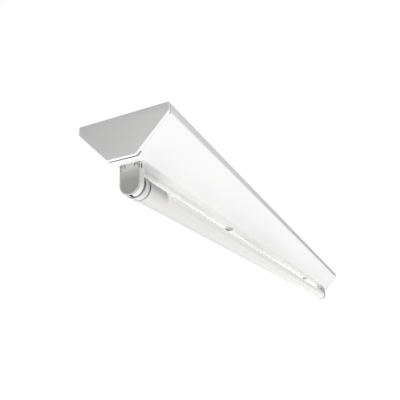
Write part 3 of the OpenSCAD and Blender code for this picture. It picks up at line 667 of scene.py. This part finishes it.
def holder_shade_card(end):
    """A black card inside a lampholder's top, put behind its slots and side windows as painted shade.
    """
    way = -1.0 if end == "near" else 1.0
    face_x = way * HOLDER_FACE_X
    low_z, high_z = (AXIS_Z + height for height in LINER_Z)
    start = HOLDER_BACK_T + LINER_GAP
    turned = start + LINER_T
    build = bmesh.new()
    for depth0, depth1, y0, y1 in (
        (start, turned, -LINER_HALF_W, LINER_HALF_W),
        (turned, LINER_DEPTH, -LINER_HALF_W, -LINER_HALF_W + LINER_T),
        (turned, LINER_DEPTH, LINER_HALF_W - LINER_T, LINER_HALF_W),
    ):
        made = bmesh.ops.create_cube(build, size=1.0)
        x0, x1 = sorted((face_x - way * depth0, face_x - way * depth1))
        for vert in made["verts"]:
            vert.co = Vector((
                (x0 + x1) / 2 + (x1 - x0) * vert.co.x,
                (y0 + y1) / 2 + (y1 - y0) * vert.co.y,
                (low_z + high_z) / 2 + (high_z - low_z) * vert.co.z,
            ))
    piece = shaped("holder_shade_card_" + end, build)
    finished(piece, "shade_card")
    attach(piece, body_of["holder_housing_" + end])


def camera():
    """A pinhole camera at the photograph's place, turned by its yaw, pitch and roll."""
    forward = Vector((
        math.cos(CAMERA_PITCH) * math.cos(CAMERA_YAW),
        math.cos(CAMERA_PITCH) * math.sin(CAMERA_YAW),
        math.sin(CAMERA_PITCH),
    ))
    level = Vector((math.sin(CAMERA_YAW), -math.cos(CAMERA_YAW), 0.0))
    lifted = level.cross(forward)
    right = math.cos(CAMERA_ROLL) * level + math.sin(CAMERA_ROLL) * lifted
    up = math.cos(CAMERA_ROLL) * lifted - math.sin(CAMERA_ROLL) * level
    made = placed("camera", bpy.data.cameras.new("camera"))
    made.data.sensor_fit = "HORIZONTAL"
    made.data.sensor_width = CAMERA_SENSOR
    made.data.lens = CAMERA_LENS
    made.data.clip_start = CAMERA_CLIP
    turned = Matrix((right, up, -forward)).transposed().to_4x4()
    made.matrix_world = Matrix.Translation(CAMERA_PLACE) @ turned
    bpy.context.scene.camera = made


def ray_kinds(tree):
    """Two factors: the ray comes straight or through glass, and the ray is a reflection."""
    path = tree.nodes.new("ShaderNodeLightPath")
    seen = joined(tree, "MAXIMUM", path.outputs["Is Camera Ray"], path.outputs["Is Transmission Ray"])
    return seen, path.outputs["Is Glossy Ray"]


def backdrop(tree, seen, glossy, mirrored):
    """Full white where it is seen straight, and its mirrored level in reflections."""
    return joined(tree, "MAXIMUM", seen, joined(tree, "MULTIPLY", glossy, mirrored))


def world():
    """White to look at, an even light for the fitting, and levels of its own in reflections."""
    made = bpy.data.worlds.new("studio")
    bpy.context.scene.world = made
    made.use_nodes = True
    tree = made.node_tree
    background = tree.nodes["Background"]
    way = axes(tree, tree.nodes.new("ShaderNodeTexCoord").outputs["Generated"])
    below = blended(tree, way["Y"], MIRROR_SIDE, MIRROR_LEVEL["front"], MIRROR_LEVEL["behind"])
    mirrored = blended(tree, way["Z"], MIRROR_HORIZON, MIRROR_LEVEL["above"], below)
    seen, glossy = ray_kinds(tree)
    shown = backdrop(tree, seen, glossy, mirrored)
    tree.links.new(joined(tree, "MAXIMUM", shown, WORLD_LEVEL), background.inputs["Strength"])
    background.inputs["Color"].default_value = (1.0, 1.0, 1.0, 1.0)


def floor_in_mirror(finish):
    """The floor's level in reflections, over its own X and Y."""
    tree = finish.tree
    along = finish.axis("X")
    start, end = ((x - PANEL_BLUR, x + PANEL_BLUR) for x in PANEL_X)
    panel = blended(tree, along, start, FLOOR_MIRROR["behind"], FLOOR_MIRROR["panel"])
    behind = blended(tree, along, end, panel, MIRROR_LEVEL["behind"])
    return blended(tree, finish.axis("Y"), FLOOR_MIRROR_SIDE, FLOOR_MIRROR["front"], behind)


def floor():
    """A pale lit floor far below, which keeps the shadow and fades into the white background."""
    build = bmesh.new()
    bmesh.ops.create_circle(build, cap_ends=True, radius=FLOOR_R, segments=FLOOR_SEGMENTS)
    made = shaped("floor", build)
    made.location = (0.0, 0.0, FLOOR_Z)
    finish = Finish("floor", 0.9, specular=0.0)
    finish.coloured(finish.patches(3.0, 3.0, *FLOOR_TONES))
    tree = finish.tree
    length = tree.nodes.new("ShaderNodeVectorMath")
    length.operation = "LENGTH"
    finish.link(finish.place, length.inputs[0])
    fade = finish.ranged(length.outputs["Value"], 0.0, 1.0, *FLOOR_FADE)
    glow = tree.nodes.new("ShaderNodeEmission")
    glow.inputs["Strength"].default_value = FLOOR_LEVEL
    lit = tree.nodes.new("ShaderNodeAddShader")
    finish.link(finish.shader.outputs["BSDF"], lit.inputs[0])
    finish.link(glow.outputs["Emission"], lit.inputs[1])
    # Far out, and everywhere in reflections, the floor is as bright as the backdrop says
    white = tree.nodes.new("ShaderNodeEmission")
    seen, glossy = ray_kinds(tree)
    shown = backdrop(tree, seen, glossy, floor_in_mirror(finish))
    finish.link(shown, white.inputs["Strength"])
    far = tree.nodes.new("ShaderNodeMixShader")
    finish.link(finish.larger(finish.product(fade, seen), glossy), far.inputs["Fac"])
    finish.link(lit.outputs["Shader"], far.inputs[1])
    finish.link(white.outputs["Emission"], far.inputs[2])
    finish.link(far.outputs["Shader"], tree.nodes["Material Output"].inputs["Surface"])
    made.data.materials.append(finish.material)


def soft_box(name, power, size, place, target):
    """A lit rectangle, left out of the picture and of the reflections, which show the backdrop."""
    light = bpy.data.lights.new(name, "AREA")
    light.shape = "RECTANGLE"
    light.size, light.size_y = size
    light.energy = power
    made = placed(name, light)
    made.location = place
    made.rotation_mode = "QUATERNION"
    made.rotation_quaternion = (Vector(target) - Vector(place)).to_track_quat("-Z", "Y")
    made.visible_camera = False
    made.visible_glossy = False


for node, slot in slot_of.items():
    finished(frame["nodes"][node], slot)
for node, width in EDGE_WIDTHS.items():
    edged(node, width)
for end in ("near", "far"):
    seam_seals(end)
    holder_shade_card(end)

camera()
world()
floor()
for name, values in SOFT_BOXES.items():
    soft_box(name, *values)
bpy.context.scene.view_settings.view_transform = "Standard"
